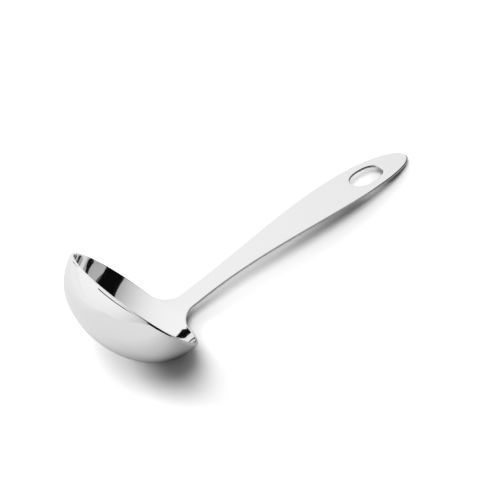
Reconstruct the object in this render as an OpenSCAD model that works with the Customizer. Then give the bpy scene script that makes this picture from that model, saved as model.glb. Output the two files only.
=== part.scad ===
// Soup ladle lying at rest, lengths in mm.
// +Z is up, +X runs toward the handle's tip, and the mirror plane is y = 0.
// The bowl is a drawn sheet with a tang, and the handle is a stamped strap.

/* [Sheet] */
// Thickness of the sheet that the bowl and the handle are made of
sheet_t = 2; // [1:0.1:3]
// How square the lip's inner corner is, where 2 is a plain round
inner_square = 5; // [2:0.5:8]

/* [Bowl] */
// Outside diameter of the rim
rim_d = 90; // [60:1:120]
// Depth from the rim's plane to the lowest point of the outside
bowl_depth = 32.7; // [26:0.1:40]
// Draft of the wall at the rim, against the bowl's axis
wall_draft = 10; // [4:0.5:16]
// Outside radius of the round side between the flatter bottom and the wall
side_r = 31; // [25:0.5:38]
// Lean of the bowl's axis from upright, with the ladle lying on a table
bowl_lean = 53.6; // [40:0.1:60]

/* [Neck] */
// Width across the narrowest place of the neck
neck_w = 12.6; // [8:0.1:20]
// Radius of the two fillets between the rim and the neck
flare_r = 12.1; // [6:0.1:18]
// Radius of the bend that turns the bowl's wall down into the handle
bend_r = 8; // [4:0.5:20]
// Distance from the rim over which the bowl's roundness fades out of the tang
trough_len = 16; // [8:0.5:20]
// Distance from the rim to the middle of the weld, along the strap
neck_at = 25.2; // [22:0.1:40]
// Length of the weld between the tang and the handle
weld_len = 1.2; // [0.6:0.1:3]

/* [Handle] */
// Length from the rim to the tip, along the strap
handle_len = 213.1; // [150:0.1:300]
// Radius of the strap's long arch
arch_r = 690; // [400:10:2000]
// Width across the widest place
handle_w = 26.3; // [16:0.1:40]
// Distance from the rim to the widest place, along the strap
widest_at = 153.1; // [110:0.5:200]
// How square the rounded tip is, where 2 is an ellipse
tip_square = 2.2; // [2:0.1:4]

/* [Hanging slot] */
// Length of the slot
slot_len = 28.9; // [12:0.5:40]
// Width of the slot
slot_w = 13.1; // [5:0.1:20]
// Distance from the tip to the slot's near end, along the strap
slot_from_tip = 25.8; // [12:0.1:60]
// How square the slot's ends are, where 2 is an ellipse
slot_square = 2.3; // [2:0.1:6]

/* [Hidden] */
$fn = 96;

steel = [0.80, 0.81, 0.82];
seam_steel = [0.74, 0.75, 0.76];

// Counts of the bowl's mesh
wall_rows = 16;
wall_cols = 60;
tang_cols = 15;
flare_rows = 9;
strap_rows = 8;
edge_steps = 4;

// Counts of the handle's outline
side_steps = 40;
tip_steps = 28;
slot_steps = 64;

half_t = sheet_t / 2;
mid_r = rim_d / 2 - half_t;
side_mid_r = side_r - half_t;
half_neck = neck_w / 2;
half_handle = handle_w / 2;

// Bowl's own axes: out of the opening, toward the handle, and across
bowl_up = [sin(bowl_lean), 0, cos(bowl_lean)];
bowl_out = [cos(bowl_lean), 0, -sin(bowl_lean)];
across = [0, 1, 0];

// Bowl's section by its slope b, which grows from 0 at the bottom to the wall's end.
// Its radius is a sum of cosines of 0, 2b and 4b, so that it changes smoothly, and
// travel is how far out and up one of those cosines carries the section.
wall_end = 90 - wall_draft;
wall_high = bowl_depth - sheet_t;
function sweep(n, b) =
    [sin((n + 1) * b) / (n + 1) + sin((n - 1) * b) / (n - 1),
     cos((n - 1) * b) / (n - 1) - cos((n + 1) * b) / (n + 1)] / 2;
function travel(n, b) = sweep(n, b) - sweep(n, 0);
function det(p, q) = p[0] * q[1] - p[1] * q[0];

// Shares of the three cosines that end the wall at the rim's radius and height, with
// the side's radius where b is 45
steady = travel(0, wall_end) + travel(4, wall_end);
double = travel(2, wall_end);
target = [mid_r, wall_high] + side_mid_r * travel(4, wall_end);
share_0 = det(target, double) / det(steady, double);
share_2 = det(steady, target) / det(steady, double);
share_4 = share_0 - side_mid_r;

// Distance from the bowl's axis, and height against the rim's plane
function section(b) =
    share_0 * travel(0, b) + share_2 * travel(2, b) + share_4 * travel(4, b)
    - [0, wall_high + half_t];

// Height of the rim's centre that sets the bowl on the table
low_place = section(bowl_lean);
rim_z = low_place[0] * sin(bowl_lean) - low_place[1] * cos(bowl_lean) + half_t;
// Farthest reach of the bowl behind the rim's centre
back_place = section(90 - bowl_lean);
bowl_back = back_place[0] * cos(bowl_lean) - back_place[1] * sin(bowl_lean) + half_t;

// Strap's middle line, in the plane y = 0, as a point [x, z] at a distance s from the
// rim's plane, where the wall's middle surface ends half a sheet short of it
wall_slope = wall_end - bowl_lean;
function heading(a) = [cos(a), sin(a)];
wall_top = [0, rim_z] + mid_r * [bowl_out.x, bowl_out.z] - half_t * [bowl_up.x, bowl_up.z];
strap_start = wall_top + half_t * heading(wall_slope);
function turn(a, b) = [sin(a) - sin(b), cos(b) - cos(a)];
function bend_len(exit) = bend_r * (wall_slope - exit) * PI / 180;
function slope_at(s, exit) =
    s < 0 ? wall_slope
    : s < bend_len(exit) ? wall_slope - s / bend_r * 180 / PI
    : exit - (s - bend_len(exit)) / arch_r * 180 / PI;
function point_at(s, exit) =
    s < 0 ? strap_start + s * heading(wall_slope)
    : s < bend_len(exit) ? strap_start + bend_r * turn(wall_slope, slope_at(s, exit))
    : strap_start + bend_r * turn(wall_slope, exit)
        + arch_r * turn(exit, slope_at(s, exit));

// Slope after the bend that lets the tip rest on the table, found by halving
function tip_gap(exit) =
    point_at(handle_len, exit)[1] - half_t * cos(slope_at(handle_len, exit));
function find_exit(low, high, tries) =
    tries == 0 ? (low + high) / 2
    : tip_gap((low + high) / 2) > 0 ? find_exit(low, (low + high) / 2, tries - 1)
    : find_exit((low + high) / 2, high, tries - 1);
exit_slope = find_exit(-20, wall_slope, 40);

function slope(s) = slope_at(s, exit_slope);
function line_x(s) = point_at(s, exit_slope)[0];
function line_z(s) = point_at(s, exit_slope)[1];

// Middle of the whole length, which goes to x = 0
tip_x = line_x(handle_len);
shift_x = (bowl_back - tip_x) / 2;

// Half of the strap's width at a distance s from the rim
function ease(u) = u * u * (3 - 2 * u);
function within(v, low, high) = min(high, max(low, v));
function half_width(s) =
    let (
        grow = within((s - neck_at) / (widest_at - neck_at), 0, 1),
        close = within((s - widest_at) / (handle_len - widest_at), 0, 1),
        full = half_neck + (half_handle - half_neck) * ease(grow)
    )
    full * pow(1 - pow(close, tip_square), 1 / tip_square);

// Ends of the weld along the strap
tang_end = neck_at - weld_len / 2;
strap_from = neck_at + weld_len / 2;

// Middle surface of the tang: the rim's arc carried along the strap, fading to flat
function chord(y) = sqrt(mid_r * mid_r - y * y);
function trough(y) = mid_r - chord(y);
function fade(s) = 1 - ease(within(s / trough_len, 0, 1));
function fade_rate(s) =
    let (u = within(s / trough_len, 0, 1)) -6 * u * (1 - u) / trough_len;
function along(s) = [cos(slope(s)), 0, sin(slope(s))];
function unit(v) = v / norm(v);
function tang_point(s, y) =
    [line_x(s), 0, line_z(s)] + y * across - trough(y) * fade(s) * bowl_out;
function tang_normal(s, y) =
    unit(cross(along(s) - trough(y) * fade_rate(s) * bowl_out,
        across - y / chord(y) * fade(s) * bowl_out));

// Edge of the middle surface lies half a sheet inside the finished edge
inner_flare = flare_r + half_t;
inner_neck = half_neck - half_t;
flare_half = inner_neck + inner_flare;
flare_end = inner_flare - half_t;
function tang_s(k) =
    k <= flare_rows
    ? -half_t + inner_flare * (1 - cos(90 * k / flare_rows))
    : flare_end + (tang_end - flare_end) * (k - flare_rows) / strap_rows;
function tang_half(k) =
    k <= flare_rows
    ? inner_neck + inner_flare * (1 - sin(90 * k / flare_rows))
    : inner_neck;
tang_rows = flare_rows + strap_rows;

// Angles round the bowl: first the columns that run on into the tang
flare_angle = asin(flare_half / mid_r);
cols = tang_cols + wall_cols;
function col_y(j) = flare_half * (2 * j / tang_cols - 1);
function col_angle(j) =
    j <= tang_cols
    ? asin(col_y(j) / mid_r)
    : flare_angle + (360 - 2 * flare_angle) * (j - tang_cols) / wall_cols;

// Middle surface of the bowl, from its bottom to half a sheet below the rim
function wall_turn(i) = wall_end * i / wall_rows;
function spoke(j) = cos(col_angle(j)) * bowl_out + sin(col_angle(j)) * across;
function wall_point(i, j) =
    let (place = section(wall_turn(i)))
    [0, 0, rim_z] + place[0] * spoke(j) + place[1] * bowl_up;
function wall_normal(i, j) = cos(wall_turn(i)) * bowl_up - sin(wall_turn(i)) * spoke(j);

// All places of the middle surface as pairs of a point and a normal
mid_places = concat(
    [[wall_point(0, 0), wall_normal(0, 0)]],
    [for (i = [1:wall_rows]) for (j = [0:cols - 1]) [wall_point(i, j), wall_normal(i, j)]],
    [for (k = [1:tang_rows]) for (c = [0:tang_cols])
        let (y = tang_half(k) * (2 * c / tang_cols - 1))
        [tang_point(tang_s(k), y), tang_normal(tang_s(k), y)]]
);
places = len(mid_places);
function wall_id(i, j) = i == 0 ? 0 : 1 + (i - 1) * cols + (j % cols);
function tang_id(k, c) =
    k == 0 ? wall_id(wall_rows, c)
    : 1 + wall_rows * cols + (k - 1) * (tang_cols + 1) + c;

// Edge of the middle surface as one closed run of places
edge_run = concat(
    [for (j = [tang_cols:cols]) wall_id(wall_rows, j)],
    [for (k = [1:tang_rows]) tang_id(k, 0)],
    [for (c = [1:tang_cols - 1]) tang_id(tang_rows, c)],
    [for (k = [tang_rows:-1:1]) tang_id(k, tang_cols)]
);
edges = len(edge_run);
cut_first = wall_cols + tang_rows;
cut_last = cut_first + tang_cols;
function edge_place(q) = mid_places[edge_run[(q + edges) % edges]];
function edge_out(q) =
    q == cut_first ? -across
    : q == cut_last ? across
    : q > cut_first && q < cut_last ? [0, 0, 0]
    : unit(cross(edge_place(q + 1)[0] - edge_place(q - 1)[0], edge_place(q)[1]));
// The edge's round is tighter on the hollow's side, where e is below its half
function edge_power(e) = e < edge_steps / 2 ? 2 / inner_square : 1;
function signed(v, power) = sign(v) * pow(abs(v), power);
function edge_point(q, e) =
    edge_place(q)[0]
    + half_t * signed(cos(180 * e / edge_steps), edge_power(e)) * edge_place(q)[1]
    + half_t * signed(sin(180 * e / edge_steps), edge_power(e)) * edge_out(q);

shell_points = concat(
    [for (m = mid_places) m[0] + half_t * m[1]],
    [for (m = mid_places) m[0] - half_t * m[1]],
    [for (q = [0:edges - 1]) for (e = [1:edge_steps - 1]) edge_point(q, e)]
);
function edge_id(q, e) =
    e == 0 ? edge_run[q % edges]
    : e == edge_steps ? places + edge_run[q % edges]
    : 2 * places + (q % edges) * (edge_steps - 1) + e - 1;

// Faces seen from the hollow's side, and the same ones turned round for outside
hollow_faces = concat(
    [for (j = [0:cols - 1]) [0, wall_id(1, j + 1), wall_id(1, j)]],
    [for (i = [1:wall_rows - 1]) for (j = [0:cols - 1])
        [wall_id(i, j), wall_id(i, j + 1), wall_id(i + 1, j + 1), wall_id(i + 1, j)]],
    [for (k = [0:tang_rows - 1]) for (c = [0:tang_cols - 1])
        [tang_id(k, c), tang_id(k, c + 1), tang_id(k + 1, c)]],
    [for (k = [0:tang_rows - 1]) for (c = [0:tang_cols - 1])
        [tang_id(k, c + 1), tang_id(k + 1, c + 1), tang_id(k + 1, c)]]
);
function turned(f) = [for (n = [len(f) - 1:-1:0]) places + f[n]];
shell_faces = concat(
    hollow_faces,
    [for (f = hollow_faces) turned(f)],
    [for (q = [0:edges - 1]) for (e = [0:edge_steps - 1])
        [edge_id(q, e), edge_id(q + 1, e), edge_id(q, e + 1)]],
    [for (q = [0:edges - 1]) for (e = [0:edge_steps - 1])
        [edge_id(q + 1, e), edge_id(q + 1, e + 1), edge_id(q, e + 1)]]
);

// Plan of the strap, from the weld's handle side round the tip and back
side_s = [for (k = [0:side_steps - 1])
    strap_from + (widest_at - strap_from) * k / side_steps];
tip_s = [for (k = [0:tip_steps - 1])
    widest_at + (handle_len - widest_at) * sin(90 * k / tip_steps)];
strap_s = concat(side_s, tip_s);
strap_plan = concat(
    [for (s = strap_s) [line_x(s), -half_width(s)]],
    [[tip_x, 0]],
    [for (k = [len(strap_s) - 1:-1:0]) [line_x(strap_s[k]), half_width(strap_s[k])]]
);

// Slot's outline about its own middle
slot_at = handle_len - slot_from_tip - slot_len / 2;
slot_power = 2 / slot_square;
slot_plan = [for (k = [0:slot_steps - 1])
    let (a = 360 * k / slot_steps)
    [slot_len / 2 * signed(cos(a), slot_power), slot_w / 2 * signed(sin(a), slot_power)]];

// Centre of the strap's long arch, below the strap
arch_centre = point_at(bend_len(exit_slope), exit_slope)
    - arch_r * [-sin(exit_slope), cos(exit_slope)];
reach = 2 * handle_len;

module on_table() {
    translate([shift_x, 0, 0])
        children();
}

module at_strap(s) {
    translate([line_x(s), 0, line_z(s)])
        rotate([0, -slope(s), 0])
        children();
}

// Cross section of the sheet with round edges, drawn across the strap
module strip_section(width) {
    square([sheet_t, width - sheet_t], center = true);
    for (side = [-1, 1])
        translate([0, side * (width - sheet_t) / 2])
        circle(d = sheet_t);
}

// Drawn bowl with a round lip and the tang that runs on from its wall
module bowl() {
    color(steel)
        on_table()
        polyhedron(points = shell_points, faces = shell_faces, convexity = 6);
}

// Weld across the neck, ground flush with the sheet on both sides
module neck_weld() {
    color(seam_steel)
        on_table()
        at_strap(tang_end)
        rotate([0, 90, 0])
        linear_extrude(height = weld_len)
        strip_section(neck_w);
}

// Stamped strap, arched along its length, with a hanging slot near the tip
module handle() {
    color(steel)
        on_table()
        difference() {
            intersection() {
                translate([0, 0, -reach])
                    linear_extrude(height = 2 * reach)
                    polygon(strap_plan);
                translate([arch_centre[0], reach / 2, arch_centre[1]])
                    rotate([90, 0, 0])
                    linear_extrude(height = reach)
                    difference() {
                        circle(r = arch_r + half_t);
                        circle(r = arch_r - half_t);
                    }
            }
            at_strap(slot_at)
                translate([0, 0, -2 * sheet_t])
                linear_extrude(height = 4 * sheet_t)
                polygon(slot_plan);
        }
}

bowl();
neck_weld();
handle();
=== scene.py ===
"""Soup ladle of polished sheet steel, lying at rest on a pale table."""

import logging
import math
from dataclasses import dataclass, field, replace
from enum import Enum
from typing import Sequence

import bpy
import numpy as np
from mathutils import Matrix, Vector


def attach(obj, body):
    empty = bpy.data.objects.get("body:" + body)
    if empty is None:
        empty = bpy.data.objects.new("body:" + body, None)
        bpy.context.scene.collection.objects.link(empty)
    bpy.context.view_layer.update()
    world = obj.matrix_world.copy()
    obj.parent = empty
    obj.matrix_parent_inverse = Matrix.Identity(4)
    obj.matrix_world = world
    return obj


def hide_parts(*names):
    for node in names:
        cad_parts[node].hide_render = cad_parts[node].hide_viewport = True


MM = 0.001
ROOT = "root"
PHOTO_WIDTH_PX = 500.0
PLACES_PER_UNIT = 1e8
CREASE = math.radians(60.0)
log = logging.getLogger("ladle")

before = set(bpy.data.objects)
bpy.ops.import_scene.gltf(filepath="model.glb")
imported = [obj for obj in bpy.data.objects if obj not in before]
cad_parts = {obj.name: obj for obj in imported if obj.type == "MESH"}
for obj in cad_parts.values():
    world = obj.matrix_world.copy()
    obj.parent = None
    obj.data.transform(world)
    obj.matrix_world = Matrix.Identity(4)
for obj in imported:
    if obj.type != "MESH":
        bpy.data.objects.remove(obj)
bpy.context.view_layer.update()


class Zone(Enum):
    """Which rule places a point of the sheet: the round cup or the strap."""

    CUP = 0
    STRAP = 1


class Side(Enum):
    """The two faces of the sheet."""

    HOLLOW = 1
    OUTSIDE = -1


@dataclass(frozen=True)
class LadleSizes:
    """Driving sizes of the ladle, in metres and radians, as the CAD part has them.

    A size that ends in square tells how square a round is, where 2 is a plain one. Those
    of the neck, the edge and the slot's edge belong to this model alone.
    """

    sheet: float = 2.0 * MM
    inner_square: float = 5.0
    neck_square: float = 2.0
    edge_square: float = 4.5
    slot_edge_square: float = 2.0
    rim_width: float = 90.0 * MM
    depth: float = 32.7 * MM
    draft: float = math.radians(10.0)
    side: float = 31.0 * MM
    lean: float = math.radians(53.6)
    neck_width: float = 12.6 * MM
    flare: float = 12.1 * MM
    bend: float = 8.0 * MM
    trough: float = 16.0 * MM
    neck_at: float = 25.2 * MM
    weld: float = 1.2 * MM
    length: float = 213.1 * MM
    arch: float = 690.0 * MM
    widest: float = 26.3 * MM
    widest_at: float = 153.1 * MM
    tip_square: float = 2.2
    slot_length: float = 28.9 * MM
    slot_width: float = 13.1 * MM
    slot_from_tip: float = 25.8 * MM
    slot_square: float = 2.3

    LOWEST_EXIT = -0.3
    HALVINGS = 50

    @property
    def half(self) -> float:
        """Half of the sheet's thickness."""
        return self.sheet / 2

    @property
    def mid_radius(self) -> float:
        """Rim radius of the sheet's middle surface."""
        return self.rim_width / 2 - self.half

    @property
    def wall_end(self) -> float:
        """Slope of the bowl's section where the wall ends."""
        return math.pi / 2 - self.draft

    @property
    def wall_high(self) -> float:
        """Height of the middle surface from its bottom to the wall's end."""
        return self.depth - self.sheet

    @staticmethod
    def travel(order: int, slope: float) -> np.ndarray:
        """How far out and up one cosine of the section's radius carries it.

        Args:
            order: The cosine is of this many times the slope.
            slope: Slope of the section, 0 at the bottom.

        Returns:
            The distance out and the distance up.
        """
        more, less = order + 1, order - 1
        out = math.sin(more * slope) / more + math.sin(less * slope) / less
        up = (math.cos(less * slope) - 1) / less - (math.cos(more * slope) - 1) / more
        return np.array([out, up]) / 2

    @property
    def shares(self) -> tuple[float, float, float]:
        """Shares of the cosines of 0, 2 and 4 slopes in the section's radius."""
        side = self.side - self.half
        steady, double, quick = (self.travel(n, self.wall_end) for n in (0, 2, 4))
        target = np.array([self.mid_radius, self.wall_high]) + side * quick
        first, second = np.linalg.solve(np.stack([steady + quick, double], axis=1), target)
        return float(first), float(second), float(first - side)

    @property
    def wall_round(self) -> float:
        """Radius of the section where the wall ends."""
        return sum(
            share * math.cos(order * self.wall_end)
            for share, order in zip(self.shares, (0, 2, 4))
        )

    def section(self, slope: float) -> np.ndarray:
        """Place on the bowl's section.

        Args:
            slope: Slope of the section, 0 at the bottom.

        Returns:
            The distance from the bowl's axis and the height against the rim's plane.
        """
        place = sum(
            share * self.travel(order, slope) for share, order in zip(self.shares, (0, 2, 4))
        )
        return place - np.array([0.0, self.wall_high + self.half])

    @property
    def rim_height(self) -> float:
        """Height of the rim's centre above the table."""
        out, up = self.section(self.lean)
        return float(out * math.sin(self.lean) - up * math.cos(self.lean) + self.half)

    @property
    def back_reach(self) -> float:
        """Reach of the bowl behind the rim's centre."""
        out, up = self.section(math.pi / 2 - self.lean)
        return float(out * math.cos(self.lean) - up * math.sin(self.lean) + self.half)

    @property
    def wall_slope(self) -> float:
        """Slope of the bowl's wall where the strap leaves it."""
        return self.wall_end - self.lean

    @property
    def strap_start(self) -> tuple[float, float]:
        """The strap's x and z at the rim's plane, before the shift to the row's frame."""
        cos, sin = math.cos(self.lean), math.sin(self.lean)
        x = self.mid_radius * cos - self.half * sin
        z = self.rim_height - self.mid_radius * sin - self.half * cos
        return (
            x + self.half * math.cos(self.wall_slope),
            z + self.half * math.sin(self.wall_slope),
        )

    def line(self, run: float, exit_slope: float) -> tuple[float, float, float]:
        """Follows the strap's middle line.

        Args:
            run: Distance from the rim along the strap.
            exit_slope: Slope of the strap just after its bend.

        Returns:
            The point's x and z, before the shift to the row's frame, and the slope.
        """
        turn = min(max(run / self.bend, 0.0), self.wall_slope - exit_slope)
        rest = max(run - self.bend * (self.wall_slope - exit_slope), 0.0) / self.arch
        bent = self.wall_slope - turn
        x, z = self.strap_start
        x += self.bend * (math.sin(self.wall_slope) - math.sin(bent))
        z += self.bend * (math.cos(bent) - math.cos(self.wall_slope))
        x += self.arch * (math.sin(exit_slope) - math.sin(exit_slope - rest))
        z += self.arch * (math.cos(exit_slope - rest) - math.cos(exit_slope))
        return x, z, bent - rest

    @property
    def exit_slope(self) -> float:
        """Slope after the bend that rests the tip on the table."""
        low, high = self.LOWEST_EXIT, self.wall_slope
        for _ in range(self.HALVINGS):
            middle = (low + high) / 2
            _, z, slope = self.line(self.length, middle)
            if z > self.half * math.cos(slope):
                high = middle
            else:
                low = middle
        return (low + high) / 2

    @property
    def shift(self) -> float:
        """Move along x that centres the ladle on the row's origin."""
        return (self.back_reach - self.line(self.length, self.exit_slope)[0]) / 2

    @property
    def tang_end(self) -> float:
        """Distance from the rim to the tang's cut end."""
        return self.neck_at - self.weld / 2

    @property
    def strap_from(self) -> float:
        """Distance from the rim to the handle's cut end."""
        return self.neck_at + self.weld / 2

    def edge_square_at(self, run: float) -> float:
        """How square the strap's upper edge is, growing from the neck to the widest place.

        Args:
            run: Distance from the rim along the strap.

        Returns:
            The squareness, 2 for a true round.
        """
        share = (run - self.neck_at) / (self.widest_at - self.neck_at)
        grow = min(max(share, 0.0), 1.0)
        return self.neck_square + (self.edge_square - self.neck_square) * grow

    def half_width(self, run: np.ndarray) -> np.ndarray:
        """Half of the strap's finished width.

        Args:
            run: Distances from the rim along the strap.

        Returns:
            The half width at each distance.
        """
        grow = np.clip((run - self.neck_at) / (self.widest_at - self.neck_at), 0, 1)
        close = np.clip((run - self.widest_at) / (self.length - self.widest_at), 0, 1)
        ease = grow * grow * (3 - 2 * grow)
        full = (self.neck_width + (self.widest - self.neck_width) * ease) / 2
        return full * (1 - close**self.tip_square) ** (1 / self.tip_square)


SIZES = LadleSizes()


def put(name: str, data: bpy.types.ID) -> bpy.types.Object:
    """Makes an object of its data and links it to the scene.

    Args:
        name: The object's name.
        data: Its mesh, camera or light.

    Returns:
        The object.
    """
    thing = bpy.data.objects.new(name, data)
    bpy.context.scene.collection.objects.link(thing)
    return thing


def panel(
    name: str, corners: Sequence[Sequence[float]],
    faces: Sequence[Sequence[int]], paint: bpy.types.Material,
) -> bpy.types.Object:
    """Makes a painted piece of the set.

    Args:
        name: The piece's name.
        corners: Its corners.
        faces: The numbers of each face's corners.
        paint: Its paint.

    Returns:
        The piece.
    """
    mesh = bpy.data.meshes.new(name)
    mesh.from_pydata(corners, [], faces)
    mesh.materials.append(paint)
    return put(name, mesh)


class Wire:
    """One output of a node tree, with arithmetic that adds Math nodes."""

    def __init__(self, graph: "Graph", socket: bpy.types.NodeSocket) -> None:
        """Keeps the socket and the graph that it is in."""
        self.graph = graph
        self.socket = socket

    def _math(self, operation: str, *values: "Wire | float") -> "Wire":
        """Adds one Math node and returns its output."""
        node = self.graph.node("ShaderNodeMath", {"operation": operation}, values)
        return Wire(self.graph, node.outputs[0])

    def __add__(self, other: "Wire | float") -> "Wire":
        """Sum."""
        return self._math("ADD", self, other)

    __radd__ = __add__

    def __mul__(self, other: "Wire | float") -> "Wire":
        """Product."""
        return self._math("MULTIPLY", self, other)

    __rmul__ = __mul__

    def __sub__(self, other: "Wire | float") -> "Wire":
        """Difference."""
        return self._math("SUBTRACT", self, other)

    def __rsub__(self, other: "Wire | float") -> "Wire":
        """Difference with the number first."""
        return self._math("SUBTRACT", other, self)

    def __truediv__(self, other: "Wire | float") -> "Wire":
        """Quotient."""
        return self._math("DIVIDE", self, other)

    def __neg__(self) -> "Wire":
        """The value with its sign changed."""
        return self._math("MULTIPLY", self, -1.0)

    def sin(self) -> "Wire":
        """Sine."""
        return self._math("SINE", self)

    def cos(self) -> "Wire":
        """Cosine."""
        return self._math("COSINE", self)

    def root(self) -> "Wire":
        """Square root."""
        return self._math("SQRT", self)

    def most(self, other: "Wire | float") -> "Wire":
        """The larger of two values."""
        return self._math("MAXIMUM", self, other)

    def least(self, other: "Wire | float") -> "Wire":
        """The smaller of two values."""
        return self._math("MINIMUM", self, other)

    def within(self, low: "Wire | float", high: "Wire | float") -> "Wire":
        """The value held between two limits."""
        return self.most(low).least(high)

    def ease(self) -> "Wire":
        """A smooth step from a value between 0 and 1."""
        return self * self * (3.0 - 2.0 * self)

    def above(self, edge: float, soft: float) -> "Wire":
        """A soft step from 0 below an edge to 1 above it."""
        return ((self - (edge - soft)) / (2 * soft)).within(0.0, 1.0).ease()


class Graph:
    """A shader or geometry node tree with one way to add any node."""

    def __init__(self, tree: bpy.types.NodeTree) -> None:
        """Starts from a tree with its nodes cleared."""
        self.tree = tree
        tree.nodes.clear()

    def node(
        self,
        kind: str,
        settings: dict[str, object] | None = None,
        values: Sequence[object] | dict[str, object] | None = None,
    ) -> bpy.types.Node:
        """Adds a node.

        Args:
            kind: The node's type.
            settings: Properties of the node, set first.
            values: Numbers or wires for its inputs, in order or by name.

        Returns:
            The new node.
        """
        node = self.tree.nodes.new(kind)
        for key, value in (settings or {}).items():
            setattr(node, key, value)
        pairs = values.items() if isinstance(values, dict) else enumerate(values or ())
        for key, value in pairs:
            if isinstance(value, Wire):
                self.tree.links.new(value.socket, node.inputs[key])
            elif value is not None:
                node.inputs[key].default_value = value
        return node

    def wire(self, node: bpy.types.Node, name: str | int = 0) -> Wire:
        """Wraps one output of a node."""
        return Wire(self, node.outputs[name])

    def vector(self, x: Wire | float, y: Wire | float, z: Wire | float) -> Wire:
        """Joins three values into a vector."""
        return self.wire(self.node("ShaderNodeCombineXYZ", None, (x, y, z)))


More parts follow.
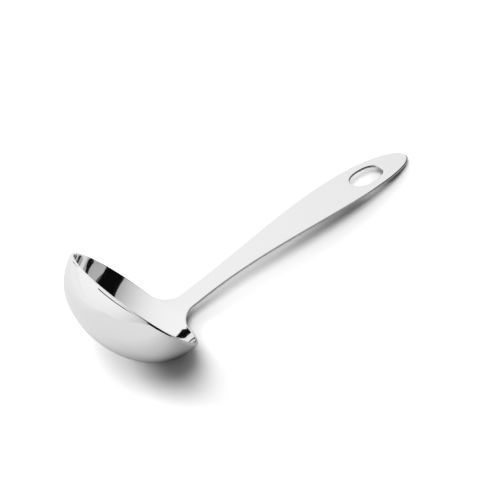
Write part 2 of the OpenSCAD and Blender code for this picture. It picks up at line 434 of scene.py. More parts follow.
class Press:
    """Geometry Nodes tree that forms a flat blank into the ladle's sheet."""

    PLACES = ("run", "cross", "turn", "around", "face", "strap")

    def __init__(self, sizes: LadleSizes) -> None:
        """Builds the tree, with a named input for each size."""
        self.sizes = sizes
        self.tree = bpy.data.node_groups.new("press_sheet", "GeometryNodeTree")
        face = self.tree.interface
        face.new_socket("Blank", in_out="INPUT", socket_type="NodeSocketGeometry")
        self.inputs = {
            "Half thickness": sizes.half,
            "Rim radius": sizes.mid_radius,
            "Bottom drop": sizes.wall_high + sizes.half,
            "Steady share": sizes.shares[0],
            "Double share": sizes.shares[1],
            "Fourfold share": sizes.shares[2],
            "Bowl lean": sizes.lean,
            "Rim height": sizes.rim_height,
            "Start X": sizes.strap_start[0],
            "Start Z": sizes.strap_start[1],
            "Wall slope": sizes.wall_slope,
            "Bend radius": sizes.bend,
            "Exit slope": sizes.exit_slope,
            "Arch radius": sizes.arch,
            "Trough length": sizes.trough,
            "Shift": sizes.shift,
        }
        self.names: dict[str, str] = {}
        for name in self.inputs:
            item = face.new_socket(name, in_out="INPUT", socket_type="NodeSocketFloat")
            self.names[name] = item.identifier
        item = face.new_socket("Steel", in_out="INPUT", socket_type="NodeSocketMaterial")
        self.steel_input = item.identifier
        face.new_socket("Piece", in_out="OUTPUT", socket_type="NodeSocketGeometry")
        self._wire_up(Graph(self.tree))

    def _place(self, graph: Graph, name: str) -> Wire:
        """Reads one of the blank's place values."""
        node = graph.node("GeometryNodeInputNamedAttribute", {"data_type": "FLOAT"}, (name,))
        return graph.wire(node)

    def _cup(self, size: dict[str, Wire], at: dict[str, Wire]) -> list[Wire]:
        """Places the bowl's points round its section.

        Args:
            size: The tree's inputs by name.
            at: The blank's place values by name.

        Returns:
            The x, y and z of the formed point.
        """
        turn = at["turn"]
        sin_a, cos_a = at["around"].sin(), at["around"].cos()
        scale = at["face"] * size["Half thickness"]
        reach = -scale * turn.sin()
        rise = scale * turn.cos() - size["Bottom drop"]
        for name, order in (("Steady share", 0), ("Double share", 2), ("Fourfold share", 4)):
            more, less, half_share = order + 1, order - 1, size[name] * 0.5
            quick, slow = turn * more, turn * less
            reach = reach + half_share * (quick.sin() / more + slow.sin() / less)
            rise = rise + half_share * ((slow.cos() - 1.0) / less - (quick.cos() - 1.0) / more)
        sin_l, cos_l = size["Bowl lean"].sin(), size["Bowl lean"].cos()
        out = reach * cos_a
        return [
            out * cos_l + rise * sin_l,
            reach * sin_a,
            size["Rim height"] - out * sin_l + rise * cos_l,
        ]

    def _strap(self, size: dict[str, Wire], at: dict[str, Wire]) -> list[Wire]:
        """Places the strap's points along its bend and its arch.

        Args:
            size: The tree's inputs by name.
            at: The blank's place values by name.

        Returns:
            The x, y and z of the formed point.
        """
        wall, radius = size["Wall slope"], size["Rim radius"]
        exit_slope, bend, arch = size["Exit slope"], size["Bend radius"], size["Arch radius"]
        sin_l, cos_l = size["Bowl lean"].sin(), size["Bowl lean"].cos()
        run, cross = at["run"], at["cross"]
        bend_run = bend * (wall - exit_slope)
        bent = wall - run.within(0.0, bend_run) / bend
        arched = exit_slope - (run - bend_run).most(0.0) / arch
        slope = bent + arched - exit_slope
        before = run.least(0.0)
        line_x = size["Start X"] + before * wall.cos() + bend * (wall.sin() - bent.sin())
        line_x = line_x + arch * (exit_slope.sin() - arched.sin())
        line_z = size["Start Z"] + before * wall.sin() + bend * (bent.cos() - wall.cos())
        line_z = line_z + arch * (arched.cos() - exit_slope.cos())
        chord = (radius * radius - cross * cross).root()
        trough = radius - chord
        part = (run / size["Trough length"]).within(0.0, 1.0)
        fade = 1.0 - part.ease()
        lift = -6.0 * part * (1.0 - part) / size["Trough length"] * trough
        tilt = cross / chord * fade
        ahead, climb = slope.cos() - lift * cos_l, slope.sin() + lift * sin_l
        aside = tilt * (climb * cos_l + ahead * sin_l)
        scale = at["face"] * size["Half thickness"] / (
            ahead * ahead + climb * climb + aside * aside
        ).root()
        return [
            line_x - trough * fade * cos_l - climb * scale,
            cross - aside * scale,
            line_z + trough * fade * sin_l + ahead * scale,
        ]

    def _wire_up(self, g: Graph) -> None:
        """Joins the two rules, shades smooth, realizes and sets the steel."""
        given = g.node("NodeGroupInput")
        size = {name: g.wire(given, name) for name in self.inputs}
        at = {name: self._place(g, name) for name in self.PLACES}
        cup, strap = self._cup(size, at), self._strap(size, at)
        x, y, z = (c + (s - c) * at["strap"] for c, s in zip(cup, strap))
        place = g.vector(x + size["Shift"], y, z)
        moved = g.node(
            "GeometryNodeSetPosition", None,
            {"Geometry": g.wire(given, "Blank"), "Position": place},
        )
        angle = g.wire(g.node("GeometryNodeInputMeshEdgeAngle"), "Unsigned Angle")
        crease = g.node(
            "FunctionNodeCompare",
            {"data_type": "FLOAT", "operation": "GREATER_THAN"},
            {"A": angle, "B": CREASE},
        )
        smooth = g.node(
            "GeometryNodeSetShadeSmooth", {"domain": "FACE"},
            {"Geometry": g.wire(moved), "Shade Smooth": True},
        )
        rounded = g.node(
            "GeometryNodeSetShadeSmooth", {"domain": "EDGE"},
            {"Geometry": g.wire(smooth), "Selection": g.wire(crease), "Shade Smooth": False},
        )
        real = g.node("GeometryNodeRealizeInstances", None, (g.wire(rounded),))
        steel = g.node(
            "GeometryNodeSetMaterial", None,
            {"Geometry": g.wire(real), "Material": g.wire(given, "Steel")},
        )
        g.node("NodeGroupOutput", None, (g.wire(steel),))

    def form(self, name: str, blank: "Blank", steel: bpy.types.Material) -> bpy.types.Object:
        """Presses a blank into its finished piece.

        Args:
            name: The piece's name.
            blank: The flat sheet with its place values.
            steel: The piece's finish.

        Returns:
            The finished mesh object, with no modifier left.
        """
        sheet = blank.mesh(name + "_blank", self.sizes)
        flat = put(name + "_blank", sheet)
        step = flat.modifiers.new("press", "NODES")
        step.node_group = self.tree
        for label, value in self.inputs.items():
            step[self.names[label]] = value
        step[self.steel_input] = steel
        graph = bpy.context.evaluated_depsgraph_get()
        mesh = bpy.data.meshes.new_from_object(flat.evaluated_get(graph), depsgraph=graph)
        mesh.name = name
        for place in self.PLACES:
            if place in mesh.attributes:
                mesh.attributes.remove(mesh.attributes[place])
        bpy.data.objects.remove(flat)
        return put(name, mesh)


@dataclass
class Blank:
    """A flat sheet as places on its middle surface, with its faces and its edges.

    A loop runs round an edge. Each of its points has a place's number, the way out of the
    sheet along and across, and how square the edge is there.
    """

    edge_steps: int = 10
    places: list[tuple[Zone, float, float]] = field(default_factory=list)
    known: dict[tuple[Zone, int, int], int] = field(default_factory=dict)
    faces: list[list[int]] = field(default_factory=list)
    loops: list[list[tuple[int, float, float, float]]] = field(default_factory=list)

    def place(self, zone: Zone, first: float, second: float) -> int:
        """Adds a place, or finds the same one again.

        Args:
            zone: The rule that places it.
            first: Turn from the bottom in the cup, or run along the strap.
            second: Angle round the cup, or distance across the strap.

        Returns:
            The place's number.
        """
        key = (zone, round(first * PLACES_PER_UNIT), round(second * PLACES_PER_UNIT))
        if key not in self.known:
            self.known[key] = len(self.places)
            self.places.append((zone, first, second))
        return self.known[key]

    def mesh(self, name: str, sizes: LadleSizes) -> bpy.types.Mesh:
        """Gives the sheet its two sides and its round edges.

        Args:
            name: The mesh's name.
            sizes: The ladle's sizes.

        Returns:
            A flat mesh that carries the place values.
        """
        rows = [(zone, a, b, side.value) for side in Side for zone, a, b in self.places]
        count = len(self.places)
        faces = [list(f) for f in self.faces]
        faces += [[count + n for n in reversed(f)] for f in self.faces]
        wall_round = sizes.wall_round
        for loop in self.loops:
            strips = []
            for number, along, across, square in loop:
                zone, a, b = self.places[number]
                strip = [number]
                for bulge, face in self._lip(sizes.half, square):
                    if zone is Zone.CUP:
                        rows.append((zone, a + bulge * along / wall_round, b, face))
                    else:
                        rows.append((zone, a + bulge * along, b + bulge * across, face))
                    strip.append(len(rows) - 1)
                strips.append(strip + [count + number])
            for here, there in zip(strips, strips[1:] + strips[:1]):
                for step in range(self.edge_steps):
                    faces.append([there[step], here[step], here[step + 1], there[step + 1]])
        return self._write(name, sizes.half, rows, faces)

    def _lip(self, half: float, square: float) -> list[tuple[float, float]]:
        """Rounds the sheet's edge, from the hollow's side to the outside.

        Args:
            half: Half of the sheet's thickness.
            square: How square the hollow's side is, 2 for a true round.

        Returns:
            The reach past the middle surface's edge and the share of the half thickness.
        """
        shape = []
        for step in range(1, self.edge_steps):
            angle = math.pi * step / self.edge_steps
            power = 2 / square if 2 * step < self.edge_steps else 1.0
            reach, face = math.sin(angle), math.cos(angle)
            shape.append((half * reach**power, math.copysign(abs(face) ** power, face)))
        return shape

    def _write(
        self, name: str, half: float,
        rows: list[tuple[Zone, float, float, float]], faces: list[list[int]],
    ) -> bpy.types.Mesh:
        """Writes the places into a mesh as attributes of its points.

        Args:
            name: The mesh's name.
            half: Half of the sheet's thickness.
            rows: Each point's zone, its two place values and its share of the half.
            faces: The numbers of each face's points.

        Returns:
            The mesh.
        """
        strap = np.array([row[0] is Zone.STRAP for row in rows], float)
        first, second, face = np.array([row[1:] for row in rows]).T
        mesh = bpy.data.meshes.new(name)
        flat = np.stack([first, second, face * half], axis=1)
        mesh.from_pydata(flat.tolist(), [], faces)
        values = {
            "run": first * strap, "cross": second * strap,
            "turn": first * (1 - strap), "around": second * (1 - strap),
            "face": face, "strap": strap,
        }
        for key, data in values.items():
            layer = mesh.attributes.new(key, "FLOAT", "POINT")
            layer.data.foreach_set("value", data.astype(np.float32))
        mesh.update()
        return mesh


@dataclass(frozen=True)
class PolishedSteel:
    """Mirror-polished stainless steel with faint polishing haze."""

    name: str
    colour: tuple[float, float, float] = (0.86, 0.865, 0.86)
    roughness: float = 0.045
    haze: float = 0.03
    haze_scale: float = 55.0
    haze_detail: float = 4.0
    haze_grain: float = 0.55
    haze_edge: float = 0.5
    haze_soft: float = 0.25
    ripple: float = 0.02
    ripple_scale: float = 140.0
    ripple_detail: float = 2.0
    ripple_depth: float = 0.2 * MM

    def material(self) -> bpy.types.Material:
        """Builds the shader.

        Returns:
            The material.
        """
        steel = bpy.data.materials.new(self.name)
        steel.use_nodes = True
        g = Graph(steel.node_tree)
        where = g.wire(g.node("ShaderNodeTexCoord"), "Object")
        cloud = g.wire(g.node("ShaderNodeTexNoise", None, {
            "Vector": where,
            "Scale": self.haze_scale,
            "Detail": self.haze_detail,
            "Roughness": self.haze_grain,
        }))
        fine = g.wire(g.node("ShaderNodeTexNoise", None, {
            "Vector": where, "Scale": self.ripple_scale, "Detail": self.ripple_detail}))
        bump = g.node("ShaderNodeBump", None, {
            "Strength": self.ripple, "Distance": self.ripple_depth, "Height": fine})
        shine = g.node("ShaderNodeBsdfPrincipled", None, {
            "Metallic": 1.0,
            "Base Color": (*self.colour, 1.0),
            "Roughness": self.roughness + self.haze * cloud.above(self.haze_edge, self.haze_soft),
            "Normal": g.wire(bump),
        })
        g.node("ShaderNodeOutputMaterial", None, (g.wire(shine),))
        return steel


@dataclass(frozen=True)
class Bowl:
    """The drawn bowl with its round lip and the tang that runs on from its wall."""

    sizes: LadleSizes
    wall_rows: int = 44
    wall_cols: int = 132
    tang_cols: int = 36
    flare_rows: int = 20
    strap_rows: int = 22

    @property
    def flare(self) -> float:
        """Radius of the neck's fillets, half a sheet inside the edge."""
        return self.sizes.flare + self.sizes.half

    @property
    def neck(self) -> float:
        """Half of the neck's width, half a sheet inside the edge."""
        return self.sizes.neck_width / 2 - self.sizes.half

    def _lay_cup(self, sheet: Blank) -> list[list[int]]:
        """Lays out the cup from its bottom to the wall's end.

        Args:
            sheet: The blank that takes the places and the faces.

        Returns:
            The rows of places, which start with the tang's columns.
        """
        s = self.sizes
        wide = self.neck + self.flare
        fill = math.asin(wide / s.mid_radius)
        cols = self.tang_cols + self.wall_cols
        angles = [math.asin(wide * (2 * j / self.tang_cols - 1) / s.mid_radius)
                  for j in range(self.tang_cols + 1)]
        rest = 2 * math.pi - 2 * fill
        angles += [fill + rest * j / self.wall_cols for j in range(1, self.wall_cols)]
        rows = [[sheet.place(Zone.CUP, 0.0, 0.0)] * cols]
        for i in range(1, self.wall_rows + 1):
            turn = s.wall_end * i / self.wall_rows
            rows.append([sheet.place(Zone.CUP, turn, a) for a in angles])
        for low, high in zip(rows, rows[1:]):
            for j in range(cols):
                ring = [low[j - 1], high[j - 1], high[j], low[j]]
                sheet.faces.append(list(dict.fromkeys(ring)))
        return rows

    def _lay_tang(
        self, sheet: Blank, first: list[int]
    ) -> list[tuple[list[int], float, float, float]]:
        """Lays out the tang from the wall's end to the weld.

        Args:
            sheet: The blank that takes the places and the faces.
            first: The places where it leaves the wall.

        Returns:
            The rows of places, each with its way out along and across and its squareness.
        """
        s = self.sizes
        strips, sides = [first], []
        for k in range(1, self.flare_rows + self.strap_rows + 1):
            part = min(k / self.flare_rows, 1.0) * math.pi / 2
            run = self.flare * (1 - math.cos(part)) - s.half
            half_width = self.neck + self.flare * (1 - math.sin(part))
            if k > self.flare_rows:
                share = (k - self.flare_rows) / self.strap_rows
                run += (s.tang_end - run) * share
            strip = [
                sheet.place(Zone.STRAP, run, half_width * (2 * c / self.tang_cols - 1))
                for c in range(self.tang_cols + 1)
            ]
            square = s.inner_square + (s.neck_square - s.inner_square) * math.sin(part)
            strips.append(strip)
            sides.append((strip, math.cos(part), math.sin(part), square))
        for low, high in zip(strips, strips[1:]):
            for c in range(self.tang_cols):
                sheet.faces.append([low[c], low[c + 1], high[c + 1], high[c]][::-1])
        return sides

    def blank(self) -> Blank:
        """Lays out the bowl's places.

        Returns:
            The blank.
        """
        s = self.sizes
        sheet = Blank()
        rim = self._lay_cup(sheet)[-1]
        sides = self._lay_tang(sheet, rim[: self.tang_cols + 1])
        wall = rim[self.tang_cols:] + rim[:1]
        loop = [(number, 1.0, 0.0, s.inner_square) for number in wall]
        loop += [(strip[0], a, -b, square) for strip, a, b, square in sides]
        loop += [(number, 0.0, 0.0, s.neck_square) for number in sides[-1][0][1:-1]]
        loop += [(strip[-1], a, b, square) for strip, a, b, square in sides[::-1]]
        sheet.loops.append(loop)
        return sheet


@dataclass(frozen=True)
class NeckWeld:
    """The weld across the neck, ground flush on both sides."""

    sizes: LadleSizes
    rows: int = 3
    cols: int = 36

    def blank(self) -> Blank:
        """Lays out the weld's places.

        Returns:
            The blank.
        """
        s = self.sizes
        neck = s.neck_width / 2 - s.half
        sheet = Blank()
        strips = [
            [sheet.place(Zone.STRAP, s.tang_end + s.weld * k / self.rows,
                         neck * (2 * c / self.cols - 1)) for c in range(self.cols + 1)]
            for k in range(self.rows + 1)
        ]
        for low, high in zip(strips, strips[1:]):
            for c in range(self.cols):
                sheet.faces.append([high[c], high[c + 1], low[c + 1], low[c]])
        ends = [(strip[0], -1.0) for strip in strips]
        ends += [(number, 0.0) for number in strips[-1][1:-1]]
        ends += [(strip[-1], 1.0) for strip in strips[::-1]]
        ends += [(number, 0.0) for number in strips[0][1:-1][::-1]]
        sheet.loops.append([(number, 0.0, across, s.neck_square) for number, across in ends])
        return sheet


@dataclass(frozen=True)
class Rung:
    """A line across half of the strap, from its middle or the slot to its edge."""

    inner: tuple[float, float]
    outer: tuple[float, float]
    outward: tuple[float, float]
    slotward: tuple[float, float] | None


@dataclass(frozen=True)
class Handle:
    """The stamped strap with its oval hanging slot."""

    sizes: LadleSizes
    side_rows: int = 90
    slot_rows: int = 48
    tip_rows: int = 44
    bands: int = 12
    fine: int = 6000
    tip_gap: float = 5.0 * MM

    def outline(self) -> tuple[np.ndarray, np.ndarray, np.ndarray]:
        """Follows the strap's edge from the weld to the tip.

        Returns:
            Points half a sheet inside the edge, the outward directions, and the run
            along the edge.
        """
        s = self.sizes
        side = np.linspace(s.strap_from, s.widest_at, self.fine, endpoint=False)
        tip = s.widest_at + (s.length - s.widest_at) * np.sin(
            np.linspace(0, math.pi / 2, self.fine))
        run = np.concatenate([side, tip])
        edge = np.stack([run, s.half_width(run)], axis=1)
        edge[-1, 1] = 0.0
        return self._inset(edge, s.half, (0.0, 1.0), (1.0, 0.0))

    def slot_edge(self) -> tuple[np.ndarray, np.ndarray, np.ndarray]:
        """Follows half of the slot's edge from its near end to its far end.

        Returns:
            Points half a sheet outside the slot, the directions into the slot, and the
            run along the edge.
        """
        s = self.sizes
        middle = s.length - s.slot_from_tip - s.slot_length / 2
        angle = np.linspace(math.pi, 0, 2 * self.fine)
        cos, sin = np.cos(angle), np.sin(angle)
        power = 2 / s.slot_square
        edge = np.stack([
            middle + s.slot_length / 2 * np.sign(cos) * np.abs(cos) ** power,
            s.slot_width / 2 * np.abs(sin) ** power,
        ], axis=1)
        edge[0, 1] = edge[-1, 1] = 0.0
        points, out, along = self._inset(edge, -s.half, (-1.0, 0.0), (1.0, 0.0))
        return points, -out, along

    @staticmethod
    def _inset(
        edge: np.ndarray, amount: float,
        first: tuple[float, float], last: tuple[float, float],
    ) -> tuple[np.ndarray, np.ndarray, np.ndarray]:
        """Moves an edge sideways and measures along it.

        Args:
            edge: Points along the edge.
            amount: How far it moves to its right.
            first: The direction to its left at its first point.
            last: The direction to its left at its last point.

        Returns:
            The moved points, the directions to the left, and the run along the points.
        """
        step = np.gradient(edge, axis=0)
        step /= np.linalg.norm(step, axis=1, keepdims=True)
        out = np.stack([-step[:, 1], step[:, 0]], axis=1)
        out[0], out[-1] = first, last
        points = edge - amount * out
        along = np.concatenate([[0], np.cumsum(np.linalg.norm(np.diff(points, axis=0), axis=1))])
        return points, out, along

    def rungs(self) -> list[Rung]:
        """Pairs places on the strap's middle, or on the slot's edge, with its outer edge.

        Returns:
            The rungs from the weld to the tip.
        """
        s = self.sizes
        edge, edge_out, edge_run = self.outline()
        slot, slot_out, slot_run = self.slot_edge()
        near, far = slot[0, 0], slot[-1, 0]

        def run_at(x: float) -> float:
            """Run along the outer edge, level with a distance from the rim."""
            return np.interp(x, edge[:, 0], edge_run)

        def pick(run: float, runs: np.ndarray, pairs: np.ndarray) -> tuple[float, float]:
            """A pair of values at a run."""
            return np.interp(run, runs, pairs[:, 0]), np.interp(run, runs, pairs[:, 1])

        side = np.linspace(s.strap_from, near, self.side_rows, endpoint=False)
        found = [((x, 0.0), run_at(x), None) for x in side]
        for k in range(self.slot_rows + 1):
            here = slot_run[-1] * k / self.slot_rows
            x, y = pick(here, slot_run, slot)
            inner = (x, 0.0 if k in (0, self.slot_rows) else y)
            found.append((inner, run_at(x), pick(here, slot_run, slot_out)))
        last = s.length - self.tip_gap
        for k in range(1, self.tip_rows + 1):
            share = k / self.tip_rows
            run = run_at(far) + (edge_run[-1] - run_at(far)) * share
            found.append(((far + (last - far) * share, 0.0), run, None))
        rungs = [Rung(inner, pick(run, edge_run, edge), pick(run, edge_run, edge_out), slotward)
                 for inner, run, slotward in found]
        return rungs[:-1] + [replace(rungs[-1], outer=(edge[-1, 0], 0.0))]

    def _lay_half(self, sheet: Blank, rungs: list[Rung], way: int) -> list[list[int]]:
        """Lays out one half of the strap.

        Args:
            sheet: The blank that takes the places and the faces.
            rungs: The rungs of the half toward +Y.
            way: 1 for the half toward +Y and -1 for the other.

        Returns:
            The rungs' places.
        """
        lines = []
        for rung in rungs:
            (x0, y0), (x1, y1) = rung.inner, rung.outer
            shares = [b / self.bands for b in range(self.bands + 1)]
            lines.append([
                sheet.place(Zone.STRAP, float(x0 + (x1 - x0) * t),
                            float(way * (y0 + (y1 - y0) * t))) for t in shares])
        for low, high in zip(lines, lines[1:]):
            for b in range(self.bands):
                face = [low[b], high[b], high[b + 1], low[b + 1]]
                sheet.faces.append(face if way == 1 else face[::-1])
        return lines

    def blank(self) -> Blank:
        """Lays out both halves of the strap, its edge and the slot's edge.

        Returns:
            The blank.
        """
        s = self.sizes
        rungs = self.rungs()
        sheet = Blank()
        left = self._lay_half(sheet, rungs, 1)
        right = self._lay_half(sheet, rungs, -1)
        loop = [(n, 0.0, 0.0, s.neck_square) for n in left[0][1:-1][::-1] + right[0][:-1]]
        edge = [(*rung.outward, s.edge_square_at(rung.outer[0])) for rung in rungs]
        loop += [(line[-1], a, -b, square) for line, (a, b, square) in zip(right, edge)]
        back = [(line[-1], a, b, square) for line, (a, b, square) in zip(left, edge)]
        sheet.loops.append(loop + back[-2::-1])
        beside = [(a[0], b[0], *rung.slotward)
                  for a, b, rung in zip(left, right, rungs) if rung.slotward]
        hole = [(n, x, y, s.slot_edge_square) for n, _, x, y in beside]
        hole += [(n, x, -y, s.slot_edge_square) for _, n, x, y in beside[-2:0:-1]]
        sheet.loops.append(hole)
        return sheet


class Ladle:
    """The whole ladle: its three pieces, formed and dressed."""

    def __init__(self, sizes: LadleSizes) -> None:
        """Keeps the sizes and the tree that forms the sheet."""
        self.sizes = sizes
        self.press = Press(sizes)

    def build(self) -> None:
        """Forms each piece and ties it to the frame."""
        finish = PolishedSteel("polished_steel").material()
        weld_finish = PolishedSteel("polished_weld", haze=0.05, haze_scale=160.0).material()
        plan = (
            ("ladle_bowl", Bowl(self.sizes).blank(), finish, "bowl", "bowl_steel"),
            ("ladle_neck_weld", NeckWeld(self.sizes).blank(), weld_finish,
             "neck_weld", "weld_steel"),
            ("ladle_handle", Handle(self.sizes).blank(), finish, "handle", "handle_steel"),
        )
        for name, blank, steel, node, slot in plan:
            piece = self.press.form(name, blank, steel)
            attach(piece, ROOT)
            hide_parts(node)
            log.info("%s: %d faces", name, len(piece.data.polygons))


@dataclass(frozen=True)
class PhotoCamera:
    """The camera as the photograph's outlines place it."""

    elevation: float = math.radians(47.57)
    heading: float = math.radians(43.09)
    distance: float = 774.8 * MM
    aim_x: float = 99.5 * MM
    aim_y: float = 9.4 * MM
    focal_px: float = 1200.0
    sensor: float = 36.0
    nearest: float = 10.0 * MM

    def build(self, shift: float) -> None:
        """Creates the camera and makes it the scene's own.

        Args:
            shift: The row frame's shift along x.
        """
        data = bpy.data.cameras.new("photo_camera")
        data.sensor_width = self.sensor
        data.lens = self.focal_px / PHOTO_WIDTH_PX * self.sensor
        data.clip_start = self.nearest
        away = Vector((math.sin(self.heading), math.cos(self.heading), 0.0))
        right = Vector((math.cos(self.heading), -math.sin(self.heading), 0.0))
        ahead = away * math.cos(self.elevation) - Vector((0, 0, math.sin(self.elevation)))
        up = right.cross(ahead)
        spot = Vector((self.aim_x + shift, self.aim_y, 0.0)) - ahead * self.distance
        turn = Matrix((right, up, -ahead)).transposed().to_4x4()
        camera = put("photo_camera", data)
        camera.matrix_world = Matrix.Translation(spot) @ turn
        bpy.context.scene.camera = camera


@dataclass(frozen=True)
class Card:
    """A dark card that stands beside the set, square to the line from its middle.

    Angles are bearings round the bowl, clockwise from +Y as seen from above.
    """

    name: str
    facing: float
    distance: float
    foot: tuple[tuple[float, float], ...]
    high: float

    def build(self, middle: Vector, paint: bpy.types.Material) -> None:
        """Stands the card up.

        Args:
            middle: The bowl's place on the table.
            paint: The card's paint.
        """
        facing = math.radians(self.facing)
        out = Vector((math.sin(facing), math.cos(facing), 0.0))
        along = Vector((out.y, -out.x, 0.0))
        head = ((self.foot[-1][0], self.high), (self.foot[0][0], self.high))
        corners = []
        for bearing, height in self.foot + head:
            aside = self.distance * math.tan(math.radians(bearing) - facing)
            corners.append(middle + out * self.distance + along * aside + Vector((0, 0, height)))
        card = panel(self.name, corners, [tuple(range(len(corners)))], paint)
        card.visible_camera = card.visible_diffuse = card.visible_shadow = False


CARDS = (
    Card("side_card", facing=135.0, distance=0.25, high=0.225, foot=(
        (76.0, 0.045), (143.0, 0.040), (152.0, 0.030), (162.0, 0.005), (198.0, 0.001))),
    Card("far_card", facing=3.0, distance=0.90, high=0.36, foot=((-4.0, 0.001), (9.0, 0.001))),
    Card("left_card", facing=-85.0, distance=0.80, high=0.54, foot=(
        (-140.0, 0.46), (-68.0, 0.46))),
)


@dataclass(frozen=True)
class SlotFlags:
    """Thin flags along the hanging slot that keep low light from passing through it."""

    count: int = 6
    low: float = -1.0 * MM
    high: float = 1.0 * MM

    def build(self, sizes: LadleSizes, paint: bpy.types.Material) -> None:
        """Stands the flags in the slot, where only shadows show them.

        Args:
            sizes: The ladle's sizes.
            paint: The flags' paint.
        """
        reach = sizes.slot_length / 2
        middle = sizes.length - sizes.slot_from_tip - reach
        pitch = sizes.slot_width / self.count
        corners, faces = [], []
        for number in range(self.count):
            aside = pitch * (number + 0.5) - sizes.slot_width / 2
            share = 1.0 - abs(2 * aside / sizes.slot_width) ** sizes.slot_square
            along = reach * share ** (1 / sizes.slot_square)
            for run, side in ((-along, self.low), (along, self.low),
                              (along, self.high), (-along, self.high)):
                x, z, slope = sizes.line(middle + run, sizes.exit_slope)
                corners.append((x + sizes.shift - side * math.sin(slope), aside,
                                z + side * math.cos(slope)))
            faces.append(tuple(range(4 * number, 4 * number + 4)))
        flags = panel("slot_flags", corners, faces, paint)
        flags.visible_camera = flags.visible_diffuse = flags.visible_glossy = False


@dataclass(frozen=True)
class Lamp:
    """A soft distant lamp, told by where its light comes from."""

    name: str
    bearing: float
    tilt: float
    spread: float
    power: float

    def build(self) -> None:
        """Hangs the lamp."""
        data = bpy.data.lights.new(self.name, "SUN")
        data.angle = math.radians(self.spread)
        data.energy = self.power
        lamp = put(self.name, data)
        lamp.visible_glossy = False
        bearing, tilt = math.radians(self.bearing), math.radians(self.tilt)
        spot = Vector((
            math.sin(bearing) * math.sin(tilt), math.cos(bearing) * math.sin(tilt), math.cos(tilt)))
        lamp.matrix_world = Matrix.Translation(spot) @ spot.to_track_quat(
            "Z", "Y").to_matrix().to_4x4()


LAMPS = (
    Lamp("key_lamp", bearing=-54.5, tilt=7.8, spread=39.0, power=1.08),
    Lamp("back_lamp", bearing=-20.0, tilt=63.5, spread=26.0, power=1.76),
)


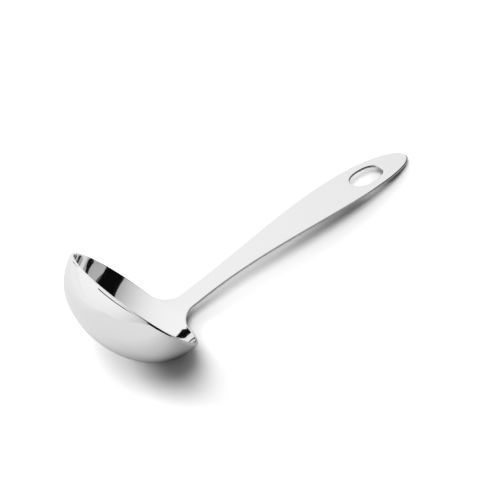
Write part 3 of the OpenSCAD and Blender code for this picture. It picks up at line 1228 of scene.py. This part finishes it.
@dataclass(frozen=True)
class Studio:
    """Pale floor, a pale room, the cards and the lamps round the ladle.

    Its fields give the floor's pale grey as the steel shows it, with painted light that
    makes it brighter behind the ladle and painted shade that makes it darker at its near
    left, the room as the steel shows it, and the room's light on the floor.
    """

    floor_half: float = 3.0
    floor_tone: float = 0.83
    floor_painted_light: float = 0.13
    floor_white: float = 1.51
    painted_shade_share: float = 0.42
    painted_shade_left: float = -0.20
    painted_shade_right: float = -0.06
    painted_shade_back: float = 0.015
    painted_shade_front: float = -0.035
    painted_light_from: float = 0.0
    painted_light_to: float = 0.25
    dim_bearing: float = 150.0
    room_bright: float = 1.03
    room_fall: float = 0.80
    haze_top: float = 0.40
    haze_share: float = 0.15
    lit_bearing: float = -6.0
    room_share: float = 0.371
    room_slope: float = 2.17
    card_tone: float = 0.004

    def floor(self) -> None:
        """Lays the floor, which shows white to the camera and keeps the shadow."""
        paint = bpy.data.materials.new("floor_white")
        paint.use_nodes = True
        g = Graph(paint.node_tree)
        path = g.node("ShaderNodeLightPath")
        camera, late = g.wire(path, "Is Camera Ray"), g.wire(path, "Diffuse Depth").least(1.0)
        where = g.node("ShaderNodeSeparateXYZ", None, (
            g.wire(g.node("ShaderNodeTexCoord"), "Object"),))
        x, y = g.wire(where, "X"), g.wire(where, "Y")
        # Painted light: the floor as the steel shows it grows brighter behind the ladle, toward +Y.
        painted_light = ((y - self.painted_light_from) / (self.painted_light_to - self.painted_light_from)).within(0.0, 1.0)
        # Painted shade: the floor as the steel shows it grows darker toward +X and -Y, beside the
        # bowl, where its shadow falls.
        ahead = ((x - self.painted_shade_left) / (self.painted_shade_right - self.painted_shade_left)).within(0.0, 1.0)
        aside = ((y - self.painted_shade_back) / (self.painted_shade_front - self.painted_shade_back)).within(0.0, 1.0)
        dusk = 1.0 - self.painted_shade_share * ahead.ease() * aside.ease()
        # Reflections see the pale grey with its painted light and painted shade. Rays after a
        # diffuse bounce see the floor black, so no bounced light fills its shadow.
        tone = (self.floor_tone + self.floor_painted_light * painted_light.ease()) * dusk * (1.0 - late)
        shade = tone + (self.floor_white - tone) * camera
        body = g.node("ShaderNodeBsdfDiffuse", None, {"Color": g.vector(shade, shade, shade)})
        g.node("ShaderNodeOutputMaterial", None, (g.wire(body),))
        h = self.floor_half
        corners = [(-h, -h, 0), (h, -h, 0), (h, h, 0), (-h, h, 0)]
        floor = panel("floor", corners, [(0, 1, 2, 3)], paint)

    def cards(self, middle: Vector) -> None:
        """Stands the dark cards round the bowl, and the flags in the slot.

        Args:
            middle: The bowl's place on the table.
        """
        paint = bpy.data.materials.new("card_black")
        paint.use_nodes = True
        g = Graph(paint.node_tree)
        body = g.node("ShaderNodeBsdfDiffuse", None, {"Color": (*[self.card_tone] * 3, 1.0)})
        g.node("ShaderNodeOutputMaterial", None, (g.wire(body),))
        for card in CARDS:
            card.build(middle, paint)
        SlotFlags().build(SIZES, paint)

    @staticmethod
    def _toward(g: Graph, where: bpy.types.Node, bearing: float) -> Wire:
        """How far a direction points toward a bearing, from -1 to 1.

        Args:
            g: The room's graph.
            where: The node that splits the direction.
            bearing: The bearing in degrees, clockwise from +Y as seen from above.

        Returns:
            The value.
        """
        turn = math.radians(bearing)
        return g.wire(where, "X") * math.sin(turn) + g.wire(where, "Y") * math.cos(turn)

    def room(self) -> None:
        """Sets the pale room, brightest on one side and white to the camera."""
        world = bpy.data.worlds.new("studio_room")
        bpy.context.scene.world = world
        world.use_nodes = True
        g = Graph(world.node_tree)
        path = g.node("ShaderNodeLightPath")
        camera = g.wire(path, "Is Camera Ray")
        late = g.wire(path, "Diffuse Depth").least(1.0)
        mirrored = g.wire(path, "Is Glossy Ray").most(g.wire(path, "Is Transmission Ray"))
        seen = camera.most(mirrored * (1.0 - late))
        where = g.node("ShaderNodeSeparateXYZ", None, (
            g.wire(g.node("ShaderNodeTexCoord"), "Generated"),))
        dusk = (self._toward(g, where, self.dim_bearing) + 1.0) * 0.5
        room_light = self.room_bright - self.room_fall * dusk * dusk * dusk
        low = 1.0 - (g.wire(where, "Z") / self.haze_top).within(0.0, 1.0).ease()
        room_light = room_light - self.haze_share * low * (0.5 - 0.5 * g.wire(where, "Y"))
        shown = room_light + (1.0 - room_light) * camera
        toward = self._toward(g, where, self.lit_bearing)
        cast = self.room_share * (1.0 + self.room_slope * toward).most(0.0)
        strength = cast * (1.0 - mirrored) + (shown - cast * (1.0 - mirrored)) * seen
        room = g.node("ShaderNodeBackground", None, {
            "Color": (1.0, 1.0, 1.0, 1.0), "Strength": strength})
        g.node("ShaderNodeOutputWorld", None, (g.wire(room),))

    def lamps(self) -> None:
        """Hangs the soft lamps, which the steel doesn't show."""
        for lamp in LAMPS:
            lamp.build()


def main() -> None:
    """Builds the camera, the studio and the ladle, in that order."""
    logging.basicConfig(level=logging.INFO, format="%(message)s")
    bpy.context.scene.view_settings.view_transform = "Standard"
    PhotoCamera().build(SIZES.shift)
    studio = Studio()
    studio.floor()
    studio.room()
    studio.cards(Vector((SIZES.shift, 0.0, 0.0)))
    studio.lamps()
    Ladle(SIZES).build()


if __name__ == "__main__":
    main()
